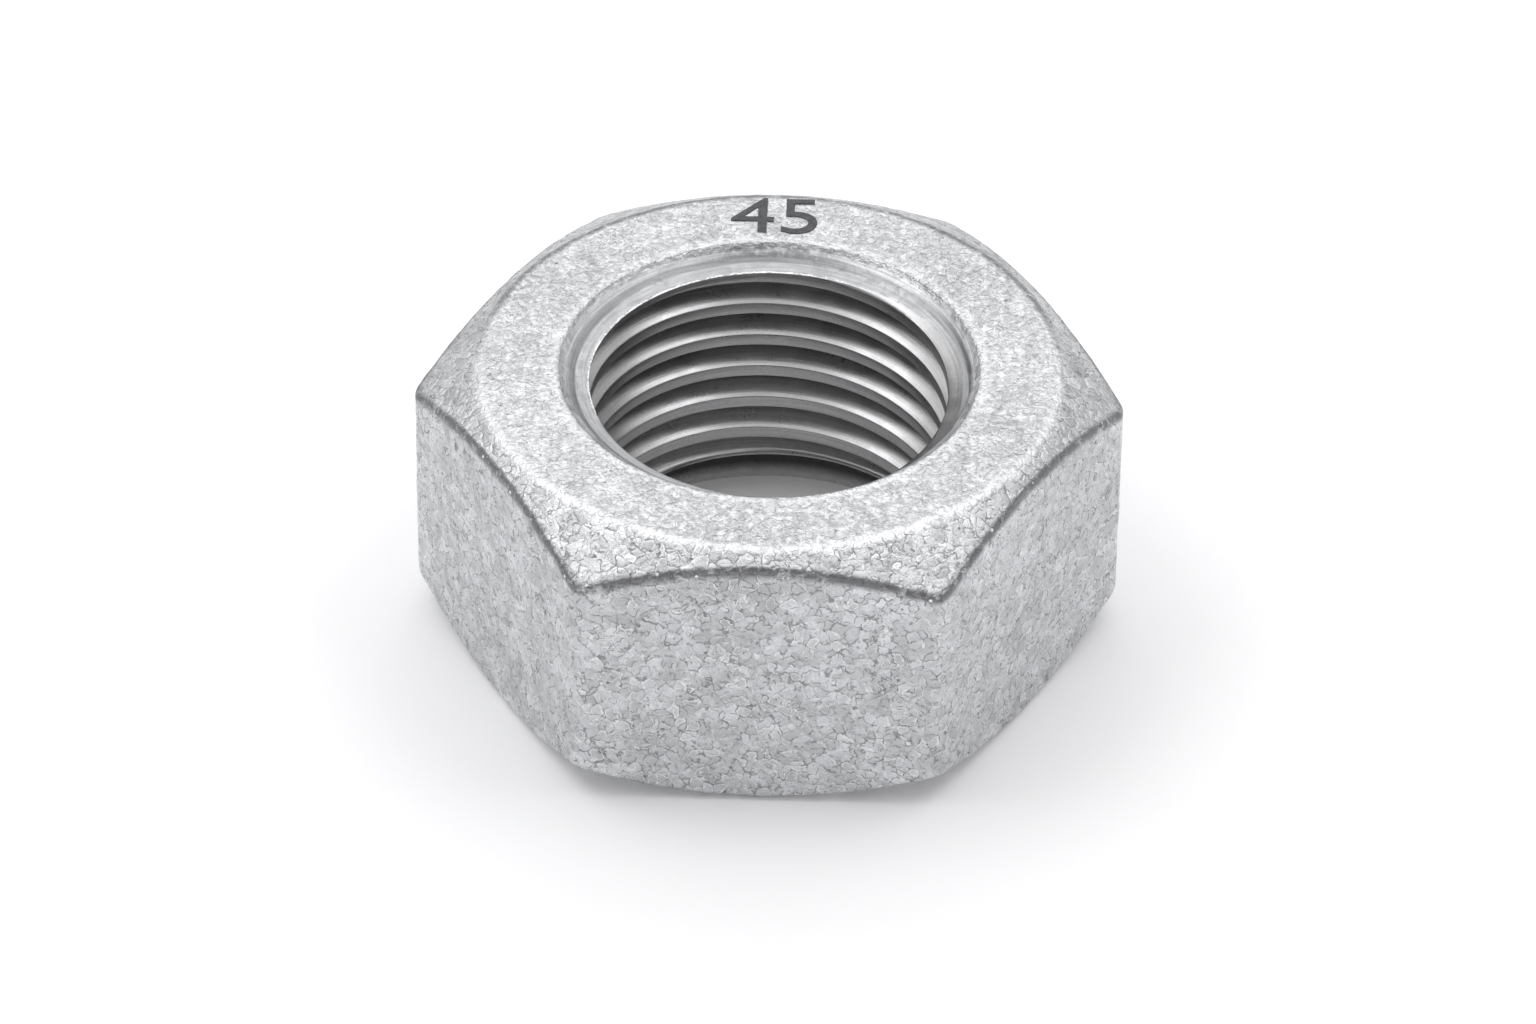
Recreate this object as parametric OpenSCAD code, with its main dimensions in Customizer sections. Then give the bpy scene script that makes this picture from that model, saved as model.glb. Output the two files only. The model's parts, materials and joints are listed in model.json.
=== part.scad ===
/* [Hexagon] */
// Width across the flats, in mm, which the wrench takes
across_flats = 70; // [68:0.5:72]
// Height from the bearing face to the top face, in mm
nut_height = 34.4; // [32:0.2:36]
// Radius of the six upright edges, in mm
corner_radius = 2.4; // [1:0.2:4]

/* [Chamfers] */
// Diameter of the flat ring on top, inside the chamfer, in mm
top_ring_diameter = 65.4; // [62:0.2:67]
// Slope of the top chamfer from level, in degrees
top_chamfer_angle = 33; // [25:1:36]
// Diameter of the bearing ring underneath, inside the chamfer, in mm
bearing_ring_diameter = 68; // [64:0.2:69]
// Slope of the bottom chamfer from level, in degrees
bottom_chamfer_angle = 33; // [25:1:36]

/* [Thread] */
// Thread pitch, in mm, one turn of the right-hand helix
thread_pitch = 4.5; // [4.2:0.1:5]
// Diameter over the thread's crests, in mm, the clear bore
crest_diameter = 40.5; // [40.2:0.1:41.5]
// Diameter over the thread's roots, in mm, the deepest part of the groove
root_diameter = 45.4; // [44.6:0.1:45.7]
// Width of the flat on each crest, as a share of the pitch
crest_flat_share = 0.32; // [0.24:0.01:0.35]
// Direction from which the groove starts its climb, in degrees round the axis
thread_start_angle = 330; // [0:5:360]

/* [Countersinks] */
// Diameter of both countersinks where they meet the faces, in mm
countersink_diameter = 47.6; // [46.6:0.2:49]
// Full angle of the countersink on top, in degrees
top_countersink_angle = 96; // [80:2:110]
// Depth of the cone on top, down to the ledge that runs in to the thread, in mm
ledge_depth = 1.7; // [1.2:0.1:2.2]
// Slope of that ledge from level, in degrees
ledge_angle = 8; // [4:1:20]
// Depth of the straight counterbore underneath, in mm, of the same diameter
counterbore_depth = 3.6; // [2:0.2:5]
// Full angle of the cone from that counterbore up to the thread, in degrees
bottom_countersink_angle = 110; // [90:5:125]

/* [Hidden] */

// Flats of the thread form lie at 30 degrees from level on both sides of a crest
flank_angle = 30;
// Steps in one turn of the helix
steps_per_turn = 48;
// Runs the cutters past the faces, so that no two faces lie on each other
overrun = 1;

corner_reach = across_flats / sqrt(3);
crest_r = crest_diameter / 2;
root_r = root_diameter / 2;
countersink_r = countersink_diameter / 2;

// Thread form: flat crest, two flanks and a narrow flat root make up one pitch
crest_flat = crest_flat_share * thread_pitch;
flank_run = (root_r - crest_r) * tan(flank_angle);
root_flat = thread_pitch - crest_flat - 2 * flank_run;

// The groove between two turns of the crest, as distances along the axis from its middle.
// It reaches inside the clear bore, so that its flanks cut through the bore's wall.
groove_inner_r = crest_r - overrun;
mouth_half = root_flat / 2 + (root_r - groove_inner_r) * tan(flank_angle);
groove_form = [
    [groove_inner_r, -mouth_half],
    [root_r, -root_flat / 2],
    [root_r, root_flat / 2],
    [groove_inner_r, mouth_half]
];
form_points = len(groove_form);

// Turns of the groove, enough to carry it past both faces
groove_turns = ceil(nut_height / thread_pitch) + 1.5;
last_step = round(groove_turns * steps_per_turn);
helix_foot = -0.75 * thread_pitch;

// A point of the groove cutter: step along the helix, place in the groove's section
function helix_point(step, place) = let(
        turn = 360 * step / steps_per_turn,
        r = groove_form[place][0],
        z = helix_foot + thread_pitch * step / steps_per_turn + groove_form[place][1]
    )
    [r * cos(turn), r * sin(turn), z];

// Hexagonal bar with its six upright edges rounded, flats facing front and back
module hexagon_bar() {
    hull()
        for (side = [0:5])
            rotate([0, 0, 60 * side])
                translate([corner_reach - corner_radius / cos(30), 0, 0])
                    cylinder(h = nut_height, r = corner_radius, $fn = 36);
}

// Turned envelope that gives both faces their chamfer
module turned_blank() {
    reach = corner_reach + overrun;
    top_r = top_ring_diameter / 2;
    bearing_r = bearing_ring_diameter / 2;
    rotate_extrude($fn = 180)
        polygon([
            [0, 0],
            [bearing_r, 0],
            [reach, (reach - bearing_r) * tan(bottom_chamfer_angle)],
            [reach, nut_height - (reach - top_r) * tan(top_chamfer_angle)],
            [top_r, nut_height],
            [0, nut_height]
        ]);
}

// Countersink on top: a cone, then a nearly level ledge that runs in to the thread
module top_countersink() {
    slope = tan(top_countersink_angle / 2);
    ledge_r = countersink_r - ledge_depth * slope;
    foot = -ledge_depth - (ledge_r - groove_inner_r) * tan(ledge_angle);
    rotate_extrude($fn = 180)
        polygon([
            [0, foot],
            [groove_inner_r, foot],
            [ledge_r, -ledge_depth],
            [countersink_r + overrun * slope, overrun],
            [0, overrun]
        ]);
}

// Countersink underneath: a straight counterbore, then a cone up to the thread, which ends well above the face
module bottom_countersink() {
    slope = tan(bottom_countersink_angle / 2);
    rise = (countersink_r - groove_inner_r) / slope;
    rotate_extrude($fn = 180)
        polygon([
            [0, -overrun],
            [countersink_r, -overrun],
            [countersink_r, counterbore_depth],
            [groove_inner_r, counterbore_depth + rise],
            [0, counterbore_depth + rise]
        ]);
}

// Clear bore over the crests, with a countersink at each end.
// It is turned half a step off the groove, so that no edge of the groove runs along its seam.
module turned_bore() {
    rotate([0, 0, thread_start_angle + 180 / steps_per_turn]) {
        translate([0, 0, -overrun])
            cylinder(h = nut_height + 2 * overrun, r = crest_r, $fn = 180);
        translate([0, 0, nut_height])
            top_countersink();
        bottom_countersink();
    }
}

// Thread groove: the groove's section swept along the helix, closed at both ends
module thread_groove() {
    points = [for (step = [0:last_step]) for (place = [0:form_points - 1]) helix_point(step, place)];
    walls = [
        for (step = [0:last_step - 1]) for (place = [0:form_points - 1])
            let(
                a = step * form_points + place,
                b = step * form_points + (place + 1) % form_points,
                c = a + form_points,
                d = b + form_points
            )
            each [[a, b, d], [a, d, c]]
    ];
    first_end = [for (place = [form_points - 1:-1:0]) place];
    last_end = [for (place = [0:form_points - 1]) last_step * form_points + place];
    rotate([0, 0, thread_start_angle])
        polyhedron(points = points, faces = concat(walls, [first_end, last_end]));
}

// The whole nut, one piece: chamfered bar, countersinks, bore and thread
module nut() {
    color("silver")
        difference() {
            intersection() {
                hexagon_bar();
                turned_blank();
            }
            turned_bore();
            thread_groove();
        }
}

nut();
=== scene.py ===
"""Heavy hex nut, hot-dip galvanised: coated body, tapped bore, size number and a plain pale studio."""

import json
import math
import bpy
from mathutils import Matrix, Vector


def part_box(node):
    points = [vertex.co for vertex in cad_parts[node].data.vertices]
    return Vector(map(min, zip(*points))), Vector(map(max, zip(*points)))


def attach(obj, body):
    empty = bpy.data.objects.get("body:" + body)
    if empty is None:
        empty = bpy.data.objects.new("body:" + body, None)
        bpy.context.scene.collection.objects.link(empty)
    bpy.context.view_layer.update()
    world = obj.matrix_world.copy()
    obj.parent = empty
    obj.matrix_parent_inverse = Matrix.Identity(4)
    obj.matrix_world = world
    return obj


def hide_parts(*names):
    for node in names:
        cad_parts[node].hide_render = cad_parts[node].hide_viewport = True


bl_info = {
    "name": "Heavy Hex Nut",
    "version": (1, 0, 0),
    "blender": (4, 5, 0),
    "location": "View3D > Sidebar > Nut",
    "description": "Dresses a large galvanised hexagon nut and sets it in a plain pale studio",
    "category": "Object",
}

from functools import partial, reduce
from types import SimpleNamespace

import bmesh
import bpy
import numpy as np
from bpy.props import FloatProperty, FloatVectorProperty, PointerProperty, StringProperty
from mathutils import Matrix, Vector, noise

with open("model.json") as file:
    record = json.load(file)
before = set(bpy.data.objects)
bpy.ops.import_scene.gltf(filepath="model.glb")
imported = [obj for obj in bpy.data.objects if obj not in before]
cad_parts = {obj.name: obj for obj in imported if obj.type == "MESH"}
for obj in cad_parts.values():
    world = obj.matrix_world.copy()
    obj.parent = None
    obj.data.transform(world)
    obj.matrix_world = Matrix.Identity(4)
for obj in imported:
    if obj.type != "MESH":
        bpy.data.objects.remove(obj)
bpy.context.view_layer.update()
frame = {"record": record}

MM = 0.001
BODY = "root"
NODE = "nut"

LOW, HIGH = (Vector(corner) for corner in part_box(NODE))
THREAD_MOUNT = next(mount for mount in frame["record"]["mounts"] if mount["name"] == "thread")

# Cuts round the axis, and down the body's section from the seam on top to the seam underneath.
BODY_COLUMNS = 600
BORE_COLUMNS = 384
TOP_CUTS, TOP_CHAMFER_CUTS, FLAT_CUTS, BOTTOM_CHAMFER_CUTS, BEARING_CUTS = 20, 17, 76, 7, 9
ARC_CUTS = 5

# The groove starts this share of a pitch below the bearing face, as in the part's source.
HELIX_FOOT = 0.75

NUMBER, COLOR, VECTOR = "NodeSocketFloat", "NodeSocketColor", "NodeSocketVector"
WHITE = (1, 1, 1)
# Settings that every colour of the sidebar has.
PAINT = {"size": 3, "subtype": "COLOR", "min": 0, "max": 1}


class NutSizes(bpy.types.PropertyGroup):
    """Sizes of the nut. Those that the frame states have it as their default"""

    across_flats: FloatProperty(
        name="Across flats", description="Width that the wrench takes",
        default=HIGH.y - LOW.y, unit="LENGTH")
    height: FloatProperty(
        name="Height", description="From the bearing face to the top face",
        default=HIGH.z - LOW.z, unit="LENGTH")
    corner_radius: FloatProperty(
        name="Corner radius", description="Radius of the six upright edges",
        default=2.4 * MM, unit="LENGTH")
    top_ring: FloatProperty(
        name="Top ring", description="Radius of the flat ring inside the top chamfer", default=32.7 * MM,
        unit="LENGTH")
    bearing_ring: FloatProperty(
        name="Bearing ring", description="Radius of the ring inside the bottom chamfer",
        default=34.0 * MM, unit="LENGTH")
    chamfer_angle: FloatProperty(
        name="Chamfer angle", description="Slope of both chamfers from level", default=math.radians(33),
        subtype="ANGLE")
    crest_radius: FloatProperty(
        name="Crest radius", description="Radius of the clear bore over the thread's crests",
        default=THREAD_MOUNT["dims"]["r_mm"] * MM, unit="LENGTH")
    root_radius: FloatProperty(
        name="Root radius", description="Radius over the thread's roots",
        default=22.7 * MM, unit="LENGTH")
    pitch: FloatProperty(
        name="Pitch", description="Climb of the thread in one turn", default=4.5 * MM, unit="LENGTH")
    crest_flat: FloatProperty(
        name="Crest flat", description="Width of the flat on each crest",
        default=1.44 * MM, unit="LENGTH")
    thread_start: FloatProperty(
        name="Thread start", description="Direction from which the groove starts its climb",
        default=math.radians(330), subtype="ANGLE")
    mouth_radius: FloatProperty(
        name="Mouth radius", description="Radius of both countersinks at the faces", default=23.8 * MM,
        unit="LENGTH")
    top_sink_angle: FloatProperty(
        name="Top countersink", description="Full angle of the countersink on top",
        default=math.radians(96), subtype="ANGLE")
    ledge_depth: FloatProperty(
        name="Ledge depth", description="From the top face down to the ledge that runs in to the thread",
        default=1.7 * MM, unit="LENGTH")
    ledge_angle: FloatProperty(
        name="Ledge angle", description="Slope of that ledge from level", default=math.radians(8),
        subtype="ANGLE")
    counterbore_depth: FloatProperty(
        name="Counterbore depth", description="Depth of the straight counterbore underneath",
        default=3.6 * MM, unit="LENGTH")
    bottom_sink_angle: FloatProperty(
        name="Bottom countersink",
        description="Full angle of the cone from the counterbore up to the thread",
        default=math.radians(110), subtype="ANGLE")
    seam_radius: FloatProperty(
        name="Seam radius", description="Circle on both faces where the coated body meets the bore",
        default=24.7 * MM, unit="LENGTH")
    number: StringProperty(
        name="Number", description="Plain size number on the top face", default="45")
    number_size: FloatProperty(
        name="Number size", description="Type size of the number", default=9.6 * MM, unit="LENGTH")
    number_reach: FloatProperty(
        name="Number reach", description="From the axis back to the number's middle", default=28.3 * MM,
        unit="LENGTH")
    number_rise: FloatProperty(
        name="Number rise", description="How far the number stands above the top face", default=0.11 * MM,
        unit="LENGTH")


class CoatSizes(bpy.types.PropertyGroup):
    """How the zinc coat softens and roughens the steel under it"""

    edge_radius: FloatProperty(
        name="Edge radius", description="Softening of the edges between chamfer and flat",
        default=0.9 * MM, unit="LENGTH")
    ring_radius: FloatProperty(
        name="Ring radius", description="Softening of the edge between chamfer and face",
        default=2.4 * MM, unit="LENGTH")
    lip_radius: FloatProperty(
        name="Lip radius", description="Softening of the countersinks' mouths",
        default=0.5 * MM, unit="LENGTH")
    crest_edge_radius: FloatProperty(
        name="Crest edge radius", description="Softening of the thread's crest edges", default=0.12 * MM,
        unit="LENGTH")
    root_radius: FloatProperty(
        name="Root softening", description="Softening of the thread's roots",
        default=0.19 * MM, unit="LENGTH")
    wall_roughness: FloatProperty(
        name="Wall roughness", description="Height of the unevenness in the bore", default=0.012 * MM,
        unit="LENGTH")
    wall_ripple: FloatProperty(
        name="Wall ripple", description="Width of the fine unevenness in the bore", default=1.8 * MM,
        unit="LENGTH")
    wall_swell: FloatProperty(
        name="Wall swell", description="Width of the broad unevenness in the bore", default=5.0 * MM,
        unit="LENGTH")
    lump_height: FloatProperty(
        name="Lump height", description="Height of the coat's broad lumps",
        default=0.07 * MM, unit="LENGTH")
    lump_width: FloatProperty(
        name="Lump width", description="Width of the coat's broad lumps", default=3.4 * MM, unit="LENGTH")
    grain_height: FloatProperty(
        name="Grain height", description="Height of the coat's fine grain",
        default=0.035 * MM, unit="LENGTH")
    grain_width: FloatProperty(
        name="Grain width", description="Width of the coat's fine grain", default=1.1 * MM, unit="LENGTH")
    crystal_width: FloatProperty(
        name="Crystal width", description="Width of one zinc crystal", default=1.25 * MM, unit="LENGTH")


class Finish(bpy.types.PropertyGroup):
    """Colours of the metal, the number and the studio"""

    zinc: FloatVectorProperty(
        name="Zinc", description="Colour of the zinc crystals", default=(0.60, 0.605, 0.62), **PAINT)
    zinc_line: FloatVectorProperty(
        name="Crystal edges", description="Colour of the dull lines between the crystals",
        default=(0.2, 0.202, 0.212), **PAINT)
    # Colour of the crystals' bright rims, and also of the painted highlight on the ring in front.
    zinc_rim_and_highlight: FloatVectorProperty(
        name="Crystal rims", description="Colour of the bright rims of the crystals",
        default=(0.9, 0.905, 0.92), **PAINT)
    # Colour of the zinc beads, and also of the painted highlight on the lip round the mouth.
    bead: FloatVectorProperty(
        name="Beads", description="Colour of the thick bright zinc in beads and round the mouth",
        default=(0.93, 0.935, 0.95), **PAINT)
    # Painted shade: the band along the edge under the chamfer and the ring behind take this colour, and
    # so does the darker band at the back of the countersink.
    edge: FloatVectorProperty(
        name="Edges", description="Colour of the dull band where the chamfer meets the flats",
        default=(0.15, 0.152, 0.16), **PAINT)
    sink: FloatVectorProperty(
        name="Countersink", description="Colour of the streaky coat in the countersink",
        default=(0.74, 0.745, 0.76), **PAINT)
    steel: FloatVectorProperty(
        name="Cut steel", description="Colour of the tapped thread", default=(0.45, 0.45, 0.455), **PAINT)
    foot: FloatVectorProperty(
        name="Foot of the bore", description="Colour of the dull counterbore underneath",
        default=(0.5, 0.5, 0.51), **PAINT)
    # Painted light: the counterbore turns paler towards the bearing face.
    foot_painted_light: FloatVectorProperty(
        name="Foot, lowest", description="Colour of the counterbore at the bearing face",
        default=(0.72, 0.72, 0.73), **PAINT)
    # Painted shade: the counterbore turns near black under the thread.
    foot_painted_shade: FloatVectorProperty(
        name="Foot, deepest", description="Colour of the counterbore under the thread",
        default=(0.05, 0.05, 0.052), **PAINT)
    number_grey: FloatVectorProperty(
        name="Number", description="Colour of the size number", default=(0.075, 0.076, 0.08), **PAINT)
    floor: FloatVectorProperty(
        name="Floor", description="Colour of the floor", default=(0.9, 0.9, 0.91), **PAINT)


class StudioSettings(bpy.types.PropertyGroup):
    """Camera, floor and light"""

    distance: FloatProperty(
        name="Camera distance", description="From the aim point to the camera",
        default=0.9163, unit="LENGTH")
    elevation: FloatProperty(
        name="Elevation", description="Height of the camera above level", default=math.radians(38.324),
        subtype="ANGLE")
    azimuth: FloatProperty(
        name="Azimuth", description="Turn of the camera from straight in front",
        default=math.radians(1.314), subtype="ANGLE")
    roll: FloatProperty(
        name="Roll", description="Tilt of the camera", default=math.radians(0.669), subtype="ANGLE")
    lens: FloatProperty(name="Lens", description="Focal length in mm", default=187.5)
    left_power: FloatProperty(name="Left softbox", description="Its power in watts", default=1.55)
    right_power: FloatProperty(name="Right softbox", description="Its power in watts", default=1.5)
    softbox_size: FloatProperty(
        name="Softbox size", description="Width of each softbox", default=0.55, unit="LENGTH")
    floor_glow: FloatProperty(
        name="Floor glow", description="What camera, metal and glass see on top of the lit floor",
        default=0.08)
    ceiling: FloatProperty(name="Ceiling", description="Light from straight above", default=1.33)
    back_high: FloatProperty(
        name="Back, high", description="Light from high up behind the nut", default=1.82)
    back_low: FloatProperty(
        name="Back, low", description="Light from low down behind the nut", default=0.02)
    left_high: FloatProperty(
        name="Left, high", description="Light from high up on the left", default=1.25)
    left_low: FloatProperty(name="Left, low", description="Light from low down on the left", default=0.1)
    right_high: FloatProperty(
        name="Right, high", description="Light from high up on the right", default=0.42)
    right_low: FloatProperty(
        name="Right, low", description="Light from low down on the right", default=0.78)
    front_high: FloatProperty(
        name="Front, high", description="Light from high up behind the camera", default=0.02)
    front_low: FloatProperty(
        name="Front, low", description="Light from low down behind the camera", default=1.75)


def section(corners, radii, arc_cuts, cuts):
    """Points down a section: straight stretches in their numbers of cuts, with an arc at each corner."""
    bends = []
    for before, corner, after, radius in zip(corners, corners[1:], corners[2:], radii):
        a = (before - corner).normalized()
        b = (after - corner).normalized()
        half = a.angle(b) / 2
        middle = corner + (a + b).normalized() * (radius / math.sin(half))
        start = corner + a * (radius / math.tan(half)) - middle
        end = corner + b * (radius / math.tan(half)) - middle
        turn = start.angle(end)
        bend = []
        for i in range(arc_cuts + 1):
            share = i / arc_cuts
            arm = start * math.sin((1 - share) * turn) + end * math.sin(share * turn)
            bend.append(middle + arm / math.sin(turn))
        bends.append(bend)
    points = [corners[0]]
    for bend, cut in zip(bends + [[corners[-1]]], cuts):
        foot = points[-1]
        points += [foot.lerp(bend[0], i / cut) for i in range(1, cut + 1)]
        points += bend[1:]
    return points


def hexagon_reach(angle, apothem, radius):
    """Distance from the axis to the rounded hexagon's side; its corners lie at 0, 60, ... degrees."""
    sixth = math.pi / 6
    from_corner = abs((angle + sixth) % (2 * sixth) - sixth)
    centre = (apothem - radius) / math.cos(sixth)
    tangent = math.atan2(radius * math.sin(sixth), centre + radius * math.cos(sixth))
    if from_corner < tangent:
        across = centre * math.sin(from_corner)
        return centre * math.cos(from_corner) + math.sqrt(radius**2 - across**2)
    return apothem / math.cos(sixth - from_corner)


def column_angles(count, sizes):
    """Directions of the body's columns, closer together round the six corners."""
    sixth = math.pi / 6
    per_half = count // 12
    bend_columns = 6
    centre = (sizes.across_flats / 2 - sizes.corner_radius) / math.cos(sixth)
    bend = 1.15 * math.atan2(sizes.corner_radius * 0.5, centre + sizes.corner_radius * math.cos(sixth))
    half = list(np.linspace(0, bend, bend_columns, endpoint=False))
    half += list(np.linspace(bend, sixth, per_half - bend_columns, endpoint=False))
    angles = []
    for corner in range(6):
        middle = corner * 2 * sixth
        angles += [middle + a for a in half]
        angles += [middle + 2 * sixth - a for a in [sixth] + half[:0:-1]]
    return np.array(angles)


def tube_faces(rows, columns, shift=None, first=0):
    """Quads between rows of a grid whose last column meets the first, facing away from the axis.

    Where a row has a shift, its last column meets the first one that many rows up, or row first.
    """
    row = np.arange(rows)
    meets = row if shift is None else np.where(shift > 0, np.maximum(row - shift, first), row)
    here = row[:, None] * columns + np.arange(columns)
    there = np.roll(here, -1, axis=1)
    there[:, -1] = meets * columns
    quads = np.stack([here[:-1], here[1:], there[1:], there[:-1]], -1)
    return quads.reshape(-1, 4)


def tube_normals(points):
    """Outward normals of a grid of points, rows by columns by 3, whose last column meets the first."""
    down = np.gradient(points, axis=0)
    around = np.roll(points, -1, axis=1) - np.roll(points, 1, axis=1)
    normals = np.cross(down, around)
    return normals / np.maximum(np.linalg.norm(normals, axis=-1, keepdims=True), 1e-12)


def waves(points, width, octaves, seed):
    """Smooth noise from about -1 to 1 at each point, with lumps of the given width."""
    offset = Vector((seed * 7.31, seed * 3.17, seed * 5.93))
    scale = 1 / width
    return np.array([noise.fractal(Vector(p) * scale + offset, 1.0, 2.0, octaves) for p in points])


def ramp(values, low, high):
    """0 up to low, 1 from high on, smooth between."""
    t = np.clip((values - low) / (high - low), 0, 1)
    return t * t * (3 - 2 * t)


def soft_max(a, b, softness):
    """The larger of a and b, rounded where they cross."""
    gap = np.maximum(softness - np.abs(a - b), 0) / softness
    return np.maximum(a, b) + gap * gap * softness / 4


def weld(mesh):
    """Joins points that lie on each other, so that faces without area go."""
    shell = bmesh.new()
    shell.from_mesh(mesh)
    bmesh.ops.remove_doubles(shell, verts=shell.verts, dist=0.001 * MM)
    shell.to_mesh(mesh)
    shell.free()


def add_piece(name, points, faces, material, masks=None):
    """A smooth mesh on the nut's body that stands for its node."""
    mesh = bpy.data.meshes.new(name)
    faces = [list(dict.fromkeys(face)) for face in faces.tolist()]
    mesh.from_pydata(points.tolist(), [], [face for face in faces if len(face) > 2])
    for key, values in (masks or {}).items():
        mask = mesh.attributes.new(key, "FLOAT", "POINT")
        mask.data.foreach_set("value", np.asarray(values, np.float32))
    weld(mesh)
    mesh.polygons.foreach_set("use_smooth", [True] * len(mesh.polygons))
    mesh.materials.append(material)
    piece = bpy.data.objects.new(name, mesh)
    bpy.context.scene.collection.objects.link(piece)
    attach(piece, BODY)
    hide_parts(NODE)
    return piece


class Nodes:
    """Adds shader nodes to a tree. A value is a number, a colour or another node's output."""

    def __init__(self, tree):
        self.tree = tree

    def add(self, kind, inputs=None, **settings):
        """A new node with its settings and the values of its inputs."""
        node = self.tree.nodes.new(kind)
        for key, value in settings.items():
            setattr(node, key, value)
        for key, value in (inputs or {}).items():
            self.feed(value, node.inputs[key])
        return node

    def feed(self, value, socket):
        """Links an output to the socket, or sets the socket to a number or a colour."""
        if isinstance(value, bpy.types.NodeSocket):
            self.tree.links.new(value, socket)
        elif hasattr(value, "__len__"):
            value = tuple(value)
            socket.default_value = value + (1.0,) if socket.type == "RGBA" and len(value) == 3 else value
        else:
            socket.default_value = value

    def maths(self, operation, a, b=0.0):
        """One step of arithmetic."""
        return self.add("ShaderNodeMath", {0: a, 1: b}, operation=operation).outputs[0]

    def times(self, *values):
        """Product of the values."""
        return reduce(partial(self.maths, "MULTIPLY"), values)

    def plus(self, *values):
        """Sum of the values."""
        return reduce(partial(self.maths, "ADD"), values)

    def minus(self, a, b):
        """The first value less the second."""
        return self.maths("SUBTRACT", a, b)

    def most(self, *values):
        """Largest of the values."""
        return reduce(partial(self.maths, "MAXIMUM"), values)

    def shift(self, operation, a, b):
        """One step of arithmetic on vectors."""
        node = self.add("ShaderNodeVectorMath", {0: a}, operation=operation)
        self.feed(b, node.inputs["Scale" if operation == "SCALE" else 1])
        return node.outputs[0]

    def span(self, value, low, high, to_low=0.0, to_high=1.0):
        """Takes low and high to the other two numbers, smooth between; low may be the larger one."""
        names = {"Value": value, "From Min": low, "From Max": high, "To Min": to_low, "To Max": to_high}
        return self.add("ShaderNodeMapRange", names, interpolation_type="SMOOTHSTEP").outputs["Result"]

    def mix(self, share, a, b, blend="MIX"):
        """Colour a with its share of colour b."""
        names = {0: share, 6: a, 7: b}
        return self.add("ShaderNodeMix", data_type="RGBA", blend_type=blend, inputs=names).outputs[2]

    def between(self, share, a, b):
        """Number a with its share of number b."""
        return self.add("ShaderNodeMix", {0: share, 2: a, 3: b}, data_type="FLOAT").outputs[0]

    def toned(self, tone, color):
        """The colour made darker or lighter by a number."""
        grey = self.add("ShaderNodeCombineColor", {0: tone, 1: tone, 2: tone}).outputs[0]
        return self.mix(1.0, color, grey, "MULTIPLY")

    def place(self):
        """Place of a point on the nut, in mm."""
        return self.shift("SCALE", self.add("ShaderNodeTexCoord").outputs["Object"], 1 / MM)

    def axes(self, vector):
        """The three numbers of a vector."""
        return self.add("ShaderNodeSeparateXYZ", {"Vector": vector}).outputs

    def paint(self, color, layers):
        """The colour with each (mask, share, colour) laid over it in turn."""
        for mask, share, layer in layers:
            color = self.mix(self.times(mask, share), color, layer)
        return color

    def reach(self, x, y):
        """Distance from the nut's axis."""
        return self.maths("POWER", self.plus(self.times(x, x), self.times(y, y)), 0.5)

    def noise(self, vector, scale, detail=2.0, rough=0.5):
        """Soft noise from 0 to 1; a scale of 1 has lumps about 1 mm wide."""
        names = {"Vector": vector, "Scale": scale, "Detail": detail, "Roughness": rough}
        return self.add("ShaderNodeTexNoise", names).outputs

    def cells(self, vector, scale, feature="F1", distance="EUCLIDEAN"):
        """Random cells; a scale of 1 has one in each cubic mm."""
        names = {"Vector": vector, "Scale": scale}
        return self.add("ShaderNodeTexVoronoi", names, feature=feature, distance=distance).outputs

    def tints(self, cells):
        """Three random numbers from 0 to 1 for each cell."""
        return self.add("ShaderNodeSeparateColor", {"Color": cells["Color"]}).outputs

    def dots(self, cells, core, rim, rare, sure, tint=0):
        """A dot, full up to its core and gone at its rim, in the cells whose tint is high enough."""
        dot = self.span(cells["Distance"], rim, core)
        return self.times(dot, self.span(self.tints(cells)[tint], rare, sure))

    def seen(self):
        """1 for what the camera sees, straight or in metal or glass, and 0 for what only lights."""
        path = self.add("ShaderNodeLightPath").outputs
        return self.most(path["Is Camera Ray"], path["Is Glossy Ray"], path["Is Transmission Ray"])


def new_group(name, inputs):
    """An empty group that gives colour, roughness and height: (group, nodes, inputs, output node)."""
    group = bpy.data.node_groups.new(name, "ShaderNodeTree")
    for key, kind, value in inputs:
        socket = group.interface.new_socket(name=key, in_out="INPUT", socket_type=kind)
        if value is not None:
            socket.default_value = value
    for key, kind in (("Color", COLOR), ("Roughness", NUMBER), ("Height", NUMBER)):
        group.interface.new_socket(name=key, in_out="OUTPUT", socket_type=kind)
    entry = group.nodes.new("NodeGroupInput")
    return group, Nodes(group), entry.outputs, group.nodes.new("NodeGroupOutput")


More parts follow.
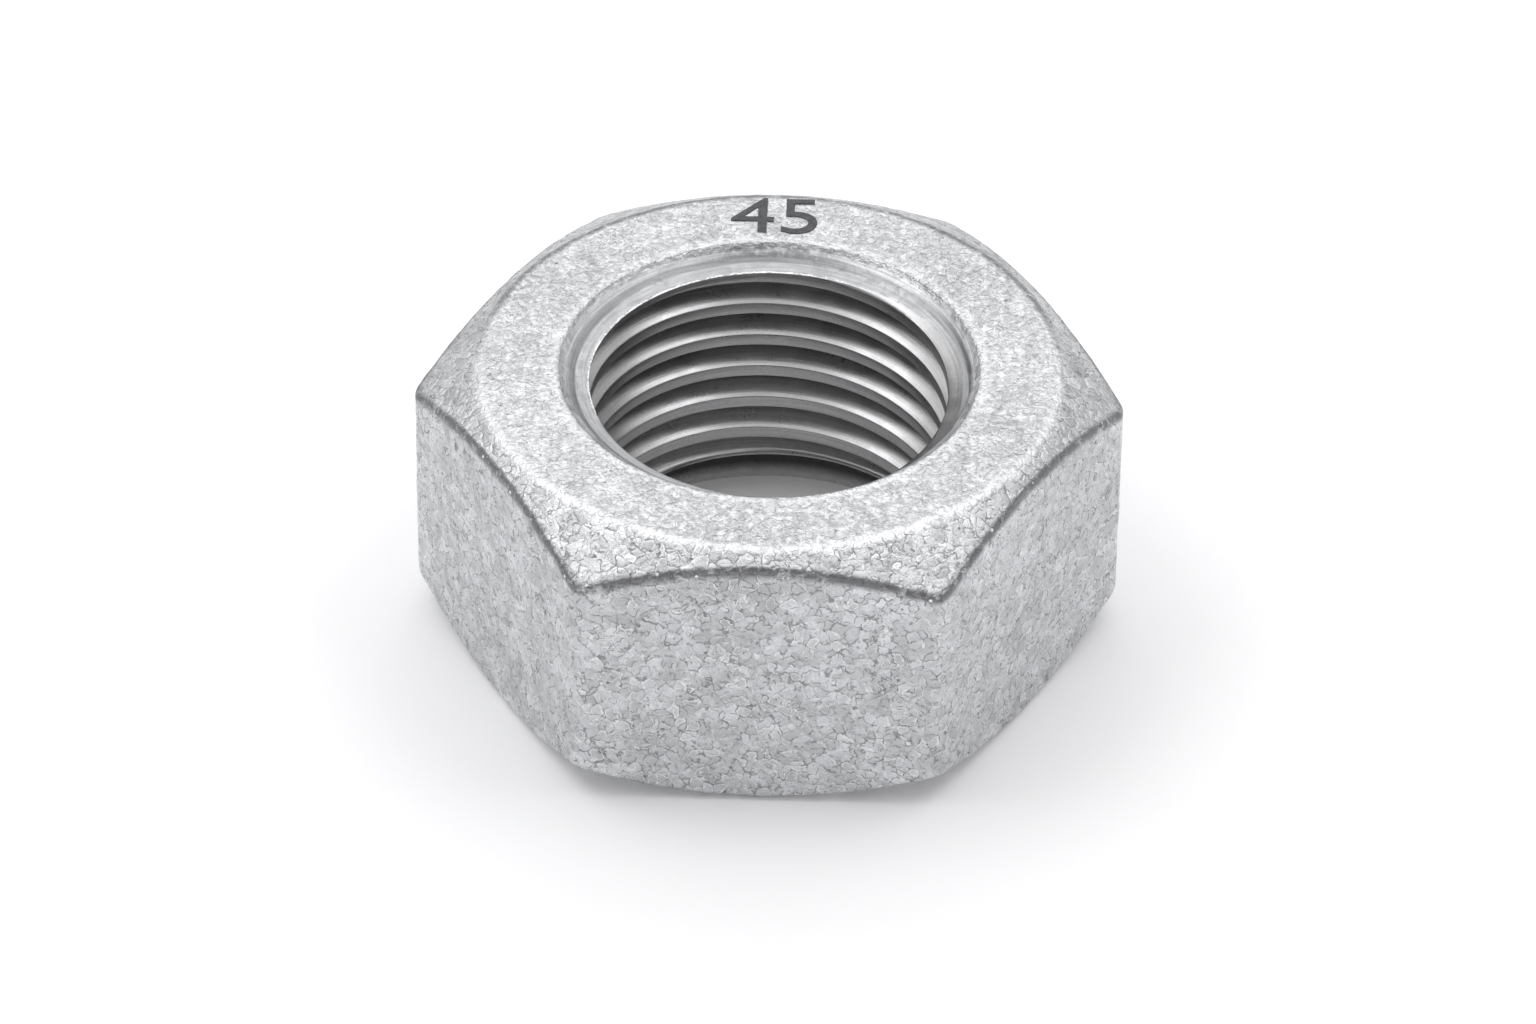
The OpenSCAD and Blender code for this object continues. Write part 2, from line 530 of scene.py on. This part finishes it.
def crystal_group():
    """Zinc coat: pale pillowed cells, broken dull outlines, bright curls, pits, sparkles and soft clouds.

    Where Flakes is 1 the cells give way to a mottled skin with angular flakes, as on the top face.
    """
    group, n, given, out = new_group("Zinc Crystals", [
        ("Place", VECTOR, None), ("Width", NUMBER, 1.25), ("Zinc", COLOR, None), ("Line", COLOR, None),
        ("Rim", COLOR, None), ("Flakes", NUMBER, 0.0)])
    place, flakes = given["Place"], given["Flakes"]
    scale = n.maths("DIVIDE", 1.0, given["Width"])
    cellular = n.span(flakes, 0.0, 1.0, 1.0, 0.6)

    def bend(amount, width, detail):
        swirl = n.noise(place, 1 / width, detail, 0.6)["Color"]
        push = n.shift("SCALE", n.shift("SUBTRACT", swirl, (0.5, 0.5, 0.5)), amount)
        return n.shift("ADD", place, push)

    def curls(offset, width, gap):
        field = n.noise(n.shift("ADD", bent, offset), 1 / width, 1.0)["Fac"]
        return n.span(n.maths("PINGPONG", field, gap), 0.016, 0.002)

    bent = bend(2.0, 2.1, 3.5)
    tint = n.tints(n.cells(bent, scale))
    small_tint = n.tints(n.cells(bent, n.times(scale, 2.3)))
    edge = n.cells(bent, scale, "DISTANCE_TO_EDGE")["Distance"]
    broken = n.noise(place, 1.1)["Fac"]
    fine = n.noise(place, 5.0, 3.0, 0.7)["Fac"]
    cloud = n.noise(place, 0.07, 3.0, 0.55)["Fac"]
    patch = n.noise(place, 0.3, 3.0, 0.65)["Fac"]
    mottle = n.span(n.noise(place, 1.5, 4.0, 0.75)["Fac"], 0.36, 0.64, 0.82, 1.24)

    # Dull outlines round the cells, broken here and there, and thin dark curls.
    outline = n.times(n.span(edge, 0.08, 0.01), n.span(broken, 0.44, 0.58))
    dark_curl = n.times(curls((40, 0, 0), 2.2, 0.09), n.span(broken, 0.5, 0.4))
    dull = n.times(n.most(outline, n.times(dark_curl, 0.8)), cellular)
    # Bright rims just inside some cells, and thin bright curls.
    bright_curl = n.times(curls((0, 40, 0), 1.9, 0.075), n.span(broken, 0.55, 0.44))
    rim = n.times(n.span(edge, 0.04, 0.09), n.span(edge, 0.17, 0.10), n.span(tint[1], 0.6, 0.9))
    rim = n.times(n.most(rim, bright_curl), cellular)
    # Angular flakes and short dark ticks of the mottled skin.
    stretched = n.shift("MULTIPLY", bend(1.2, 1.5, 3.0), (1.0, 0.7, 1.0))
    angular = n.cells(stretched, 0.95, distance="MANHATTAN")
    flake = n.times(n.dots(angular, 0.35, 0.75, 0.6, 0.85), flakes)
    oblong = n.cells(n.shift("MULTIPLY", bent, (1.5, 0.8, 1.0)), 1.1)
    tick = n.times(n.dots(oblong, 0.1, 0.2, 0.74, 0.77), flakes)
    # Small pits, a few deep ones, and sparkles.
    small_pit = n.dots(n.cells(bent, 0.6), 0.07, 0.16, 0.80, 0.84, tint=2)
    tall = n.cells(n.shift("MULTIPLY", bent, (1.0, 1.0, 0.55)), 0.17)
    deep_pit = n.dots(tall, 0.05, 0.12, 0.62, 0.66, tint=2)
    pit = n.most(small_pit, deep_pit)
    glint = n.dots(n.cells(place, 0.85), 0.06, 0.14, 0.88, 0.9, tint=1)

    tone = n.times(n.span(tint[0], 0.0, 1.0, 0.9, 1.09), n.span(small_tint[0], 0.0, 1.0, 0.94, 1.05))
    tone = n.times(
        n.between(flakes, tone, mottle), n.span(cloud, 0.3, 0.7, 0.93, 1.07),
        n.span(patch, 0.3, 0.7, 0.88, 1.1), n.span(fine, 0.25, 0.75, 0.9, 1.1))
    dark, bright = given["Line"], given["Rim"]
    color = n.paint(n.toned(tone, given["Zinc"]), (
        (flake, 0.7, bright), (rim, 0.7, bright), (dull, 0.7, dark), (tick, 0.7, dark), (pit, 0.85, dark),
        (glint, 1.0, bright)))
    n.feed(color, out.inputs["Color"])
    n.feed(n.plus(n.span(tint[2], 0.0, 1.0, 0.34, 0.52), n.times(dull, 0.15)), out.inputs["Roughness"])
    pillow = n.times(n.span(edge, 0.0, 0.3), cellular)
    heights = (
        (tint[1], 0.3), (flake, 0.4), (mottle, 1.5), (dull, -0.5), (bright_curl, 0.8), (pit, -2.0),
        (fine, 0.5), (patch, 2.2))
    n.feed(n.plus(pillow, *(n.times(mask, share) for mask, share in heights)), out.inputs["Height"])
    return group


def cut_group(pitch):
    """Cut steel: satin streaks that run round the axis and climb with the thread, with soft stains."""
    group, n, given, out = new_group("Cut Steel", [
        ("Place", VECTOR, None), ("Steel", COLOR, None), ("Streaks", NUMBER, 0.11)])
    place = given["Place"]
    x, y, z = n.axes(place)
    turn = n.maths("ARCTAN2", y, x)
    level = n.minus(z, n.times(turn, pitch / math.tau))
    along = {0: n.times(turn, 1.6), 1: n.times(n.reach(x, y), 5.0), 2: n.times(level, 5.0)}
    streak = n.noise(n.add("ShaderNodeCombineXYZ", along).outputs[0], 1.0, 3.0, 0.6)["Fac"]
    fine = n.noise(place, 3.2, 3.0, 0.65)["Fac"]
    stain = n.noise(place, 0.35, 3.0, 0.6)["Fac"]
    tone = n.times(
        n.plus(1.0, n.times(n.span(streak, 0.3, 0.7, -1.0, 1.0), given["Streaks"])),
        n.span(stain, 0.3, 0.7, 0.95, 1.04), n.span(fine, 0.25, 0.75, 0.93, 1.07))
    n.feed(n.toned(tone, given["Steel"]), out.inputs["Color"])
    n.feed(n.span(stain, 0.3, 0.7, 0.27, 0.36), out.inputs["Roughness"])
    n.feed(n.plus(n.times(streak, 0.6), n.times(fine, 0.25)), out.inputs["Height"])
    return group


def new_material(name):
    """An empty material: (the material, its nodes, its output node)."""
    material = bpy.data.materials.new(name)
    material.use_nodes = True
    material.node_tree.nodes.clear()
    nodes = Nodes(material.node_tree)
    return material, nodes, nodes.add("ShaderNodeOutputMaterial")


def find_spot(n, place, sizes):
    """Where a point lies on the nut, in mm, and the masks that the layers of colour share."""
    x, y, z = n.axes(place)
    mouth, crest = sizes.mouth_radius / MM, sizes.crest_radius / MM
    cone = (mouth - crest) / math.tan(sizes.bottom_sink_angle / 2)
    ledge = (sizes.height - sizes.ledge_depth) / MM - 0.3
    ragged = n.span(n.noise(place, 0.9, 3.0, 0.6)["Fac"], 0.2, 0.8, -0.3, 0.3)
    reach = n.plus(n.reach(x, y), ragged)
    sunk = n.span(reach, mouth + 0.3, mouth - 0.7)
    return SimpleNamespace(
        place=place, x=x, y=y, z=z, reach=reach, mouth=mouth, crest=crest, ledge=ledge, sunk=sunk,
        thread_foot=sizes.counterbore_depth / MM + cone,
        inside=n.times(sunk, n.span(z, ledge + 0.1, ledge - 0.1)),
        up=n.axes(n.add("ShaderNodeTexCoord").outputs["Normal"])[2],
        uneven=n.noise(place, 0.9, 3.0, 0.7)["Fac"])


def edge_painted_light_and_shade_layers(n, at, finish):
    """Painted shade along the edge under the chamfer, a painted highlight on the ring in front, painted
    shade on the ring behind, and beads of zinc on them.
    """
    # The edge mask places painted shade along the edge where the chamfer meets the flats, and the ring
    # mask places the ring's painted highlight and shade.
    edge = n.add("ShaderNodeAttribute", attribute_name="edge").outputs["Fac"]
    ring = n.add("ShaderNodeAttribute", attribute_name="ring").outputs["Fac"]
    edge = n.times(edge, n.span(at.uneven, 0.34, 0.5, 0.35, 1.0))
    ring = n.times(ring, n.span(at.uneven, 0.66, 0.5, 0.2, 1.0))
    # Painted highlight on the front of the ring, painted shade on its back.
    front = n.times(ring, n.span(at.y, 6.0, -6.0))
    back = n.times(ring, n.span(at.y, 2.0, 14.0))
    bead = n.times(n.dots(n.cells(at.place, 0.9), 0.12, 0.22, 0.55, 0.6), n.most(edge, front))
    return (
        (edge, 0.85, finish.edge), (front, 0.6, finish.zinc_rim_and_highlight), (back, 0.75, finish.edge),
        (bead, 1.0, finish.bead))


def mouth_layers(n, at, finish):
    """Painted highlight on the lip round the mouth, dull ledge, a darker streaky band at the back, and
    beads on the ledge's inner edge.
    """
    # Painted highlight: the lip round the mouth is brightened where its surface faces up.
    lip = n.times(
        n.span(at.reach, at.mouth, at.mouth + 0.35),
        n.span(at.reach, at.mouth + 1.4, at.mouth + 0.6),
        at.up, n.span(at.uneven, 0.6, 0.45, 0.1, 1.0))
    ledge = n.times(at.sunk, n.span(at.z, at.ledge + 1.2, at.ledge + 0.7))
    ledge = n.minus(ledge, n.maths("MINIMUM", ledge, at.inside))
    # A darker streaky band at the back centre of the countersink.
    stain = n.times(
        at.sunk, n.span(at.z, at.ledge + 0.6, at.ledge + 0.9),
        n.span(n.maths("ABSOLUTE", at.x), 11.0, 2.0), n.span(at.y, 0.0, 5.0),
        n.span(at.uneven, 0.35, 0.55, 0.25, 1.0))
    brink = n.times(
        n.span(at.z, at.ledge - 0.05, at.ledge + 0.1),
        n.span(at.reach, at.crest + 0.35, at.crest + 0.15),
        n.span(at.z, at.ledge + 0.5, at.ledge + 0.4), n.span(at.uneven, 0.4, 0.5, 0.15, 1.0))
    return (
        (lip, 0.5, finish.bead), (ledge, 0.55, finish.zinc_line), (stain, 0.6, finish.edge),
        (brink, 1.0, finish.bead))


def foot_painted_light_and_shade_layers(n, at, finish):
    """The straight foot of the bore: dull, with painted shade under the thread and painted light towards
    the bearing face.
    """
    foot = n.times(
        n.span(at.z, at.thread_foot + 0.4, at.thread_foot - 0.1),
        n.span(at.reach, at.mouth + 1.7, at.mouth + 1.4),
        n.span(at.reach, at.mouth - 2.6, at.mouth - 0.4))
    # Painted light: paler towards the bearing face.
    pale = n.times(foot, n.span(at.z, 1.8, 0.3))
    # Painted shade: near black under the thread.
    deep = n.times(foot, n.span(at.z, 0.7, 2.6))
    return (foot, 1.0, finish.foot), (pale, 1.0, finish.foot_painted_light), (deep, 0.95, finish.foot_painted_shade)


def nut_material(finish, coat, sizes, crystals, cut):
    """Zinc coat outside, cut steel in the bore, and a soft change between them at the mouth."""
    material, n, out = new_material("Galvanised steel")
    place = n.place()
    at = find_spot(n, place, sizes)
    zinc = n.add("ShaderNodeGroup", {
        "Place": place, "Width": coat.crystal_width / MM, "Zinc": finish.zinc, "Line": finish.zinc_line,
        "Rim": finish.zinc_rim_and_highlight, "Flakes": n.span(at.up, 0.88, 0.97)}, node_tree=crystals).outputs
    turned = n.add(
        "ShaderNodeGroup", {"Place": place, "Steel": finish.sink, "Streaks": 0.25}, node_tree=cut).outputs
    steel = n.add("ShaderNodeGroup", {"Place": place, "Steel": finish.steel}, node_tree=cut).outputs
    color = n.paint(zinc["Color"], (
        (at.sunk, 0.85, turned["Color"]), (at.inside, 1.0, steel["Color"]), *edge_painted_light_and_shade_layers(n, at, finish),
        *mouth_layers(n, at, finish), *foot_painted_light_and_shade_layers(n, at, finish)))
    height = n.between(at.sunk, zinc["Height"], n.times(steel["Height"], 0.4))
    bump = n.add("ShaderNodeBump", {"Height": height, "Strength": 1.0, "Distance": 0.045 * MM})
    shader = n.add("ShaderNodeBsdfPrincipled", {
        "Base Color": color, "Metallic": n.span(at.inside, 0.0, 1.0, 0.86, 1.0),
        "Roughness": n.between(at.inside, zinc["Roughness"], steel["Roughness"]),
        "Normal": bump.outputs["Normal"]})
    n.feed(shader.outputs["BSDF"], out.inputs["Surface"])
    return material


def number_material(finish):
    """Dull dark grey, a little uneven."""
    material, n, out = new_material("Dark number")
    cloud = n.noise(n.place(), 1.6, 4.0, 0.65)["Fac"]
    bump = n.add("ShaderNodeBump", {"Height": cloud, "Strength": 1.0, "Distance": 0.03 * MM})
    shader = n.add("ShaderNodeBsdfPrincipled", {
        "Base Color": n.toned(n.span(cloud, 0.25, 0.75, 0.7, 1.35), finish.number_grey), "Metallic": 0.3,
        "Roughness": 0.55, "Normal": bump.outputs["Normal"]})
    n.feed(shader.outputs["BSDF"], out.inputs["Surface"])
    return material


class NUT_OT_coated_body(bpy.types.Operator):
    """Build the coated outside: top face, chamfers, six flats and bearing face"""

    bl_idname = "nut.coated_body"
    bl_label = "Coated Body"

    def execute(self, context):
        sizes, coat = context.scene.nut_sizes, context.scene.nut_coat
        angles = column_angles(BODY_COLUMNS, sizes)
        columns = [self.column(angle, sizes, coat) for angle in angles]
        outline = np.array([[tuple(p) for p in column] for column in columns]).transpose(1, 0, 2)
        points = np.stack([
            outline[..., 0] * np.cos(angles), outline[..., 0] * np.sin(angles), outline[..., 1]], -1)
        flat = points.reshape(-1, 3) + self.lumps(points, sizes, coat)
        # The masks follow the rows where the top chamfer meets the flats and where it meets the top face;
        # the material paints shade along the first, and a highlight in front and shade behind on the
        # second.
        row = np.repeat(np.arange(len(points)), len(angles))
        edge_row = 1 + TOP_CUTS + ARC_CUTS + TOP_CHAMFER_CUTS
        edge = ramp(row, edge_row - 3, edge_row) * (1 - ramp(row, edge_row + 4, edge_row + 6))
        ring = ramp(row, TOP_CUTS, TOP_CUTS + 3) * (1 - ramp(row, TOP_CUTS + 3, TOP_CUTS + 7))
        add_piece(
            "coated_body", flat, tube_faces(len(points), len(angles)),
            bpy.data.materials["Galvanised steel"], {"edge": edge, "ring": ring})
        return {"FINISHED"}

    @staticmethod
    def column(angle, sizes, coat):
        """Section of the body in one direction, from the seam on top to the seam underneath."""
        slope = math.tan(sizes.chamfer_angle)
        reach = hexagon_reach(angle, sizes.across_flats / 2, sizes.corner_radius)
        corners = [
            Vector((sizes.seam_radius, sizes.height)),
            Vector((sizes.top_ring, sizes.height)),
            Vector((reach, sizes.height - (reach - sizes.top_ring) * slope)),
            Vector((reach, (reach - sizes.bearing_ring) * slope)),
            Vector((sizes.bearing_ring, 0)),
            Vector((sizes.seam_radius, 0)),
        ]
        radii = [coat.ring_radius, coat.edge_radius, coat.edge_radius, coat.edge_radius]
        cuts = [TOP_CUTS, TOP_CHAMFER_CUTS, FLAT_CUTS, BOTTOM_CHAMFER_CUTS, BEARING_CUTS]
        return section(corners, radii, ARC_CUTS, cuts)

    @staticmethod
    def lumps(points, sizes, coat):
        """How far the coat's lumps and grain move each point, with nothing at the seams."""
        normals = tube_normals(points).reshape(-1, 3)
        flat = points.reshape(-1, 3)
        reach = np.hypot(flat[:, 0], flat[:, 1])
        free = ramp(reach, sizes.seam_radius, sizes.seam_radius + 0.8 * MM)
        bump = waves(flat, coat.lump_width, 2, 1) * coat.lump_height
        bump += waves(flat, coat.grain_width, 2, 2) * coat.grain_height
        # Underneath the lumps only go inwards, and on top they are half as high.
        on_face = 0.05 * MM
        bump = np.where(flat[:, 2] < on_face, -np.abs(bump), bump)
        bump = np.where(flat[:, 2] > sizes.height - on_face, bump * 0.5, bump)
        return normals * (bump * free)[:, None]


def thread_form(sizes, coat):
    """One pitch of the thread, from crest middle to crest middle: (heights over the groove, radii)."""
    half_mouth = (sizes.pitch - sizes.crest_flat) / 2
    half_root = half_mouth - (sizes.root_radius - sizes.crest_radius) * math.tan(math.radians(30))
    corners = [
        Vector((sizes.crest_radius, sizes.pitch / 2)),
        Vector((sizes.crest_radius, half_mouth)),
        Vector((sizes.root_radius, half_root)),
        Vector((sizes.root_radius, -half_root)),
        Vector((sizes.crest_radius, -half_mouth)),
        Vector((sizes.crest_radius, -sizes.pitch / 2)),
    ]
    radii = [coat.crest_edge_radius, coat.root_radius, coat.root_radius, coat.crest_edge_radius]
    form = np.array([tuple(p) for p in section(corners, radii, 3, [1, 4, 1, 4, 1])])
    return form[:, 1], form[:, 0]


class NUT_OT_threaded_bore(bpy.types.Operator):
    """Build the tapped bore with its thread and both countersinks"""

    bl_idname = "nut.threaded_bore"
    bl_label = "Threaded Bore"

    def execute(self, context):
        sizes, coat = context.scene.nut_sizes, context.scene.nut_coat
        angles = np.arange(BORE_COLUMNS) * math.tau / BORE_COLUMNS
        heights, reaches = thread_form(sizes, coat)
        # Levels of the groove's middle, one for each turn, where the columns start.
        first = -(sizes.thread_start / math.tau + HELIX_FOOT) * sizes.pitch
        climb = sizes.pitch * angles / math.tau

        def thread(levels):
            phase = (levels - first - climb) % sizes.pitch
            phase = np.where(phase > sizes.pitch / 2, phase - sizes.pitch, phase)
            return np.interp(phase, heights[::-1], reaches[::-1])

        lip, foot = self.lip(sizes, coat), self.foot(sizes, coat)
        top, low = lip[-1].y, foot[0].y
        last_turn = math.ceil((top - first) / sizes.pitch + 0.5)
        first_turn = math.floor((low - first) / sizes.pitch - 0.5) - 1
        turns = np.arange(last_turn, first_turn - 1, -1)
        starts = (first + turns[:, None] * sizes.pitch + heights[None, :-1]).reshape(-1)
        levels = np.clip(starts[:, None] + climb, low, top)
        spread = math.tan(sizes.bottom_sink_angle / 2)
        cone = sizes.mouth_radius - (levels - sizes.counterbore_depth) * spread
        wall = soft_max(thread(levels), cone, coat.crest_edge_radius * 2)

        rings = []
        for ring in (lip[:-1], foot[1:]):
            height = np.array([p.y for p in ring])[:, None] + 0 * climb
            plain = np.array([p.x for p in ring])[:, None] + 0 * climb
            rings.append((soft_max(thread(height), plain, coat.crest_edge_radius), height))
        radius = np.concatenate([rings[0][0], wall, rings[1][0]])
        height = np.concatenate([rings[0][1], levels, rings[1][1]])
        points = np.stack([radius * np.cos(angles), radius * np.sin(angles), height], -1)
        flat = points.reshape(-1, 3)
        rough = waves(flat, coat.wall_ripple, 1, 5) + 2 * waves(flat, coat.wall_swell, 1, 6)
        away = ramp(sizes.seam_radius - np.hypot(flat[:, 0], flat[:, 1]), 0.1 * MM, 1.2 * MM)
        flat[:, :2] *= (1 + rough * away * coat.wall_roughness / sizes.crest_radius)[:, None]

        shift = np.zeros(len(points), int)
        shift[len(lip) - 1:len(lip) - 1 + len(starts)] = len(heights) - 1
        faces = tube_faces(len(points), len(angles), shift, len(lip) - 1)[:, ::-1]
        add_piece("threaded_bore", flat, faces, bpy.data.materials["Galvanised steel"])
        return {"FINISHED"}

    @staticmethod
    def lip(sizes, coat):
        """Down from the seam on the top face: mouth, cone, ledge and the first of the clear bore."""
        top = sizes.height
        ledge_reach = sizes.mouth_radius - sizes.ledge_depth * math.tan(sizes.top_sink_angle / 2)
        ledge_foot = sizes.ledge_depth + (ledge_reach - sizes.crest_radius) * math.tan(sizes.ledge_angle)
        corners = [
            Vector((sizes.seam_radius, top)),
            Vector((sizes.mouth_radius, top)),
            Vector((ledge_reach, top - sizes.ledge_depth)),
            Vector((sizes.crest_radius, top - ledge_foot)),
            Vector((sizes.crest_radius, top - ledge_foot - 0.5 * MM)),
        ]
        radii = [coat.lip_radius, coat.lip_radius * 0.6, coat.crest_edge_radius]
        return section(corners, radii, ARC_CUTS, [2, 5, 8, 2])

    @staticmethod
    def foot(sizes, coat):
        """From the cone under the thread down the counterbore and out to the seam underneath."""
        start = 0.4 * MM
        depth = sizes.counterbore_depth
        corners = [
            Vector((sizes.mouth_radius - start * math.tan(sizes.bottom_sink_angle / 2), depth + start)),
            Vector((sizes.mouth_radius, depth)),
            Vector((sizes.mouth_radius, 0)),
            Vector((sizes.seam_radius, 0)),
        ]
        return section(corners, [coat.crest_edge_radius, coat.lip_radius * 0.7], ARC_CUTS, [1, 6, 3])


class NUT_OT_size_number(bpy.types.Operator):
    """Build the plain size number on the back of the top face"""

    bl_idname = "nut.size_number"
    bl_label = "Size Number"

    def execute(self, context):
        sizes = context.scene.nut_sizes
        curve = bpy.data.curves.new("size_number", "FONT")
        curve.body = sizes.number
        curve.align_x = "CENTER"
        curve.align_y = "CENTER"
        curve.size = sizes.number_size
        # The number's foot lies inside the coat, and its top stands above the top face.
        top, foot = sizes.height + sizes.number_rise, sizes.height - 0.07 * MM
        curve.extrude = (top - foot) / 2
        text = bpy.data.objects.new("size_number_outline", curve)
        context.scene.collection.objects.link(text)
        context.view_layer.update()
        mesh = bpy.data.meshes.new_from_object(text)
        bpy.data.objects.remove(text)
        mesh.name = "size_number"
        widened = 1.12
        mesh.transform(Matrix.Diagonal((widened, 1.0, 1.0, 1.0)))
        mesh.transform(Matrix.Translation((0, sizes.number_reach, (top + foot) / 2)))
        mesh.materials.clear()
        mesh.materials.append(bpy.data.materials["Dark number"])
        piece = bpy.data.objects.new("size_number", mesh)
        context.scene.collection.objects.link(piece)
        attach(piece, BODY)
        return {"FINISHED"}


class NUT_OT_materials(bpy.types.Operator):
    """Make the zinc, cut steel and number materials that the pieces use"""

    bl_idname = "nut.materials"
    bl_label = "Materials"

    def execute(self, context):
        scene = context.scene
        crystals, cut = crystal_group(), cut_group(scene.nut_sizes.pitch / MM)
        nut_material(scene.nut_finish, scene.nut_coat, scene.nut_sizes, crystals, cut)
        number_material(scene.nut_finish)
        return {"FINISHED"}


class NUT_OT_studio(bpy.types.Operator):
    """Set the floor, the soft room, the two softboxes and the camera"""

    bl_idname = "nut.studio"
    bl_label = "Studio"

    def execute(self, context):
        studio, finish = context.scene.nut_studio, context.scene.nut_finish
        self.floor(context, studio, finish)
        self.world(context, studio)
        self.softboxes(context, studio)
        self.camera(context, studio)
        context.scene.view_settings.view_transform = "Standard"
        return {"FINISHED"}

    @staticmethod
    def floor(context, studio, finish):
        """A pale floor a hair under the nut, with a little glow of its own for what is seen."""
        material, n, out = new_material("Floor")
        matt = n.add("ShaderNodeBsdfDiffuse", {"Color": finish.floor})
        strength = n.times(n.seen(), studio.floor_glow)
        glow = n.add("ShaderNodeEmission", {"Color": WHITE, "Strength": strength})
        both = n.add("ShaderNodeAddShader", {0: matt.outputs[0], 1: glow.outputs[0]})
        n.feed(both.outputs[0], out.inputs["Surface"])
        side, level = 12.0, -0.01 * MM
        mesh = bpy.data.meshes.new("floor")
        corners = [(-side, -side, level), (side, -side, level), (side, side, level), (-side, side, level)]
        mesh.from_pydata(corners, [], [(0, 1, 2, 3)])
        mesh.materials.append(material)
        floor = bpy.data.objects.new("floor", mesh)
        context.scene.collection.objects.link(floor)

    @staticmethod
    def world(context, studio):
        """A room of soft light: a ceiling and four walls, each with a level high up and one low down."""
        world = bpy.data.worlds.new("Soft room")
        world.use_nodes = True
        world.node_tree.nodes.clear()
        n = Nodes(world.node_tree)
        x, y, z = n.axes(n.add("ShaderNodeTexCoord").outputs["Generated"])
        # z is 0 at the horizon and 1 straight above. In front the low light gives way further down.
        above = n.span(z, 0.17, 0.64)
        above_front = n.span(z, 0.05, 0.36)
        overhead = n.span(z, 0.64, 1.0)
        walls = (
            (x, -1, above, studio.left_high, studio.left_low),
            (x, 1, above, studio.right_high, studio.right_low),
            (y, -1, above_front, studio.front_high, studio.front_low),
            (y, 1, above, studio.back_high, studio.back_low))
        level = n.plus(n.times(x, x), n.times(y, y), 0.0001)
        light = n.times(overhead, studio.ceiling)
        for axis, sign, higher, high, low in walls:
            toward = n.most(n.times(axis, sign), 0.0)
            share = n.maths("DIVIDE", n.times(toward, toward), level)
            upper = n.times(n.minus(higher, overhead), high)
            lower = n.times(n.minus(1.0, higher), low)
            light = n.plus(light, n.times(share, n.plus(upper, lower)))
        # A low view looks past the floor's far edge, and meets a strip as white as the floor.
        strip = n.times(n.seen(), n.span(z, 0.08, 0.06))
        sky = n.add("ShaderNodeBackground", {"Color": WHITE, "Strength": n.between(strip, light, 1.0)})
        out = n.add("ShaderNodeOutputWorld")
        n.feed(sky.outputs[0], out.inputs["Surface"])
        context.scene.world = world

    @staticmethod
    def softboxes(context, studio):
        """Two round softboxes high up on the left and right, which light the flanks of the thread."""
        boxes = (("left_softbox", -1, studio.left_power), ("right_softbox", 1, studio.right_power))
        for name, side, power in boxes:
            lamp = bpy.data.lights.new(name, "AREA")
            lamp.shape = "DISK"
            lamp.size = studio.softbox_size
            lamp.energy = power
            softbox = bpy.data.objects.new(name, lamp)
            stand = Vector((side * 0.55, 0.08, 0.95))
            softbox.location = stand
            softbox.rotation_euler = (-stand).to_track_quat("-Z", "Y").to_euler()
            context.scene.collection.objects.link(softbox)

    @staticmethod
    def camera(context, studio):
        """The camera at the photograph's viewing angle."""
        lens = bpy.data.cameras.new("camera")
        lens.lens = studio.lens
        lens.sensor_width = 36
        lens.clip_start = 0.01
        camera = bpy.data.objects.new("camera", lens)
        aim = Vector((0, 1.94 * MM, 12.0 * MM))
        ahead, rise = math.cos(studio.elevation), math.sin(studio.elevation)
        away = Vector((ahead * math.sin(studio.azimuth), -ahead * math.cos(studio.azimuth), rise))
        look = (-away).to_track_quat("-Z", "Y").to_matrix().to_4x4()
        roll = Matrix.Rotation(studio.roll, 4, "Z")
        camera.matrix_world = Matrix.Translation(aim + away * studio.distance) @ look @ roll
        context.scene.collection.objects.link(camera)
        context.scene.camera = camera


class NUT_PT_panel(bpy.types.Panel):
    """Buttons that build the nut and its studio, with its sizes and colours"""

    bl_idname = "NUT_PT_panel"
    bl_label = "Heavy Hex Nut"
    bl_space_type = "VIEW_3D"
    bl_region_type = "UI"
    bl_category = "Nut"

    def draw(self, context):
        scene = context.scene
        for operator in OPERATORS:
            self.layout.operator(operator.bl_idname)
        for group in (scene.nut_sizes, scene.nut_coat, scene.nut_finish, scene.nut_studio):
            box = self.layout.box()
            for key in group.__annotations__:
                box.prop(group, key)


SETTINGS = {
    "nut_sizes": NutSizes, "nut_coat": CoatSizes, "nut_finish": Finish, "nut_studio": StudioSettings}
OPERATORS = (
    NUT_OT_materials, NUT_OT_coated_body, NUT_OT_threaded_bore, NUT_OT_size_number, NUT_OT_studio)
CLASSES = (*SETTINGS.values(), *OPERATORS, NUT_PT_panel)


def register():
    for cls in CLASSES:
        bpy.utils.register_class(cls)
    for key, group in SETTINGS.items():
        setattr(bpy.types.Scene, key, PointerProperty(type=group))


def unregister():
    for key in SETTINGS:
        delattr(bpy.types.Scene, key)
    for cls in reversed(CLASSES):
        bpy.utils.unregister_class(cls)


def main():
    register()
    bpy.ops.nut.materials()
    bpy.ops.nut.coated_body()
    bpy.ops.nut.threaded_bore()
    bpy.ops.nut.size_number()
    bpy.ops.nut.studio()


if __name__ == "__main__":
    main()
